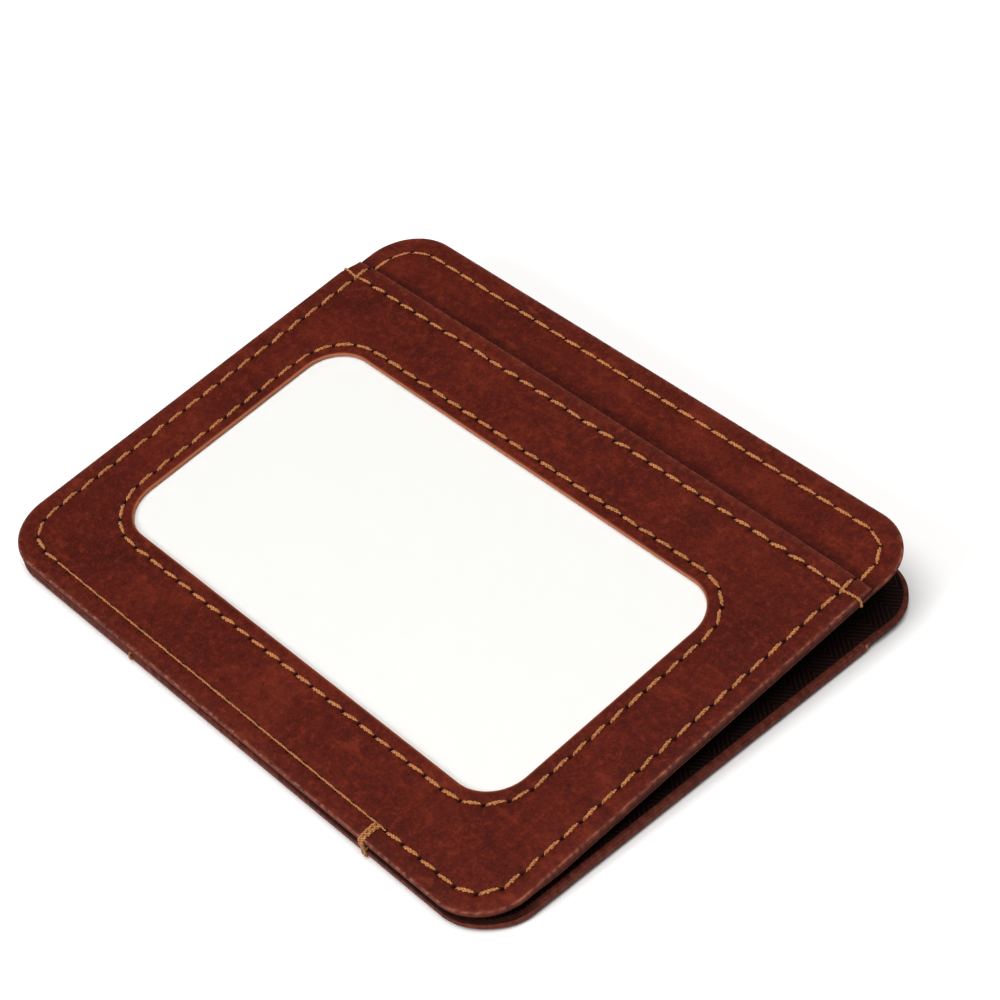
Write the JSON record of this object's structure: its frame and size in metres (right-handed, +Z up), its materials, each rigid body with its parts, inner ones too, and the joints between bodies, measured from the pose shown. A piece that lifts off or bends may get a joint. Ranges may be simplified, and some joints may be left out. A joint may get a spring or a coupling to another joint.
{
  "type": "slim wallet",
  "caption": "Slim leather wallet: halves sewn along one long edge open round a bill pocket, with a card slot on each face and a clear identity window.",
  "frame": {"origin": "middle of the face that the wallet lies on, under the middle of the back half", "axes": "+X along the sewn long edge, +Y from the sewn edge to the mouth of the bill pocket, +Z up from the resting face to the window"},
  "size_m": [0.1024, 0.0779, 0.0101],
  "materials": {
    "leather": "satin, waxed smooth grain",
    "lining": "matte herringbone weave",
    "interlining": "matte bonded felt",
    "thread": "waxed twisted thread",
    "film": "clear gloss film",
    "insert": "blank white card"
  },
  "bodies": {
    "back_half": {"back_lining": "lining", "back_interlining": "interlining", "back_backing_panel": "leather", "back_top_stitching": "thread", "back_left_stitching": "thread", "back_right_stitching": "thread", "back_slot_stitching": "thread", "back_slot_tack_left": "thread", "back_slot_tack_right": "thread", "back_slot_panel": "leather", "seam_stitching_back": "thread", "seam_tack_back": "thread", "back_edge_tack": "thread"},
    "front_half": {"front_lining": "lining", "front_interlining": "interlining", "front_backing_panel": "leather", "front_top_stitching": "thread", "front_left_stitching": "thread", "front_right_stitching": "thread", "front_slot_stitching": "thread", "front_slot_tack_left": "thread", "front_slot_tack_right": "thread", "front_window_panel": "leather", "window_film": "film", "window_stitching": "thread", "seam_stitching_front": "thread", "seam_tack_front": "thread"},
    "insert_card": {"insert_card": "insert"}
  },
  "joints": [
    {"name": "pocket_hinge", "type": "hinge", "parent": "back_half", "child": "front_half", "pos_m": [0, -0.03875, 0.00132], "axis": [1, 0, 0], "range_deg": [-5.8, 40]},
    {"name": "card_slide", "type": "slide", "parent": "front_half", "child": "insert_card", "axis": [0, 0.9947, 0.1028], "range_m": [0, 0.06]}
  ]
}
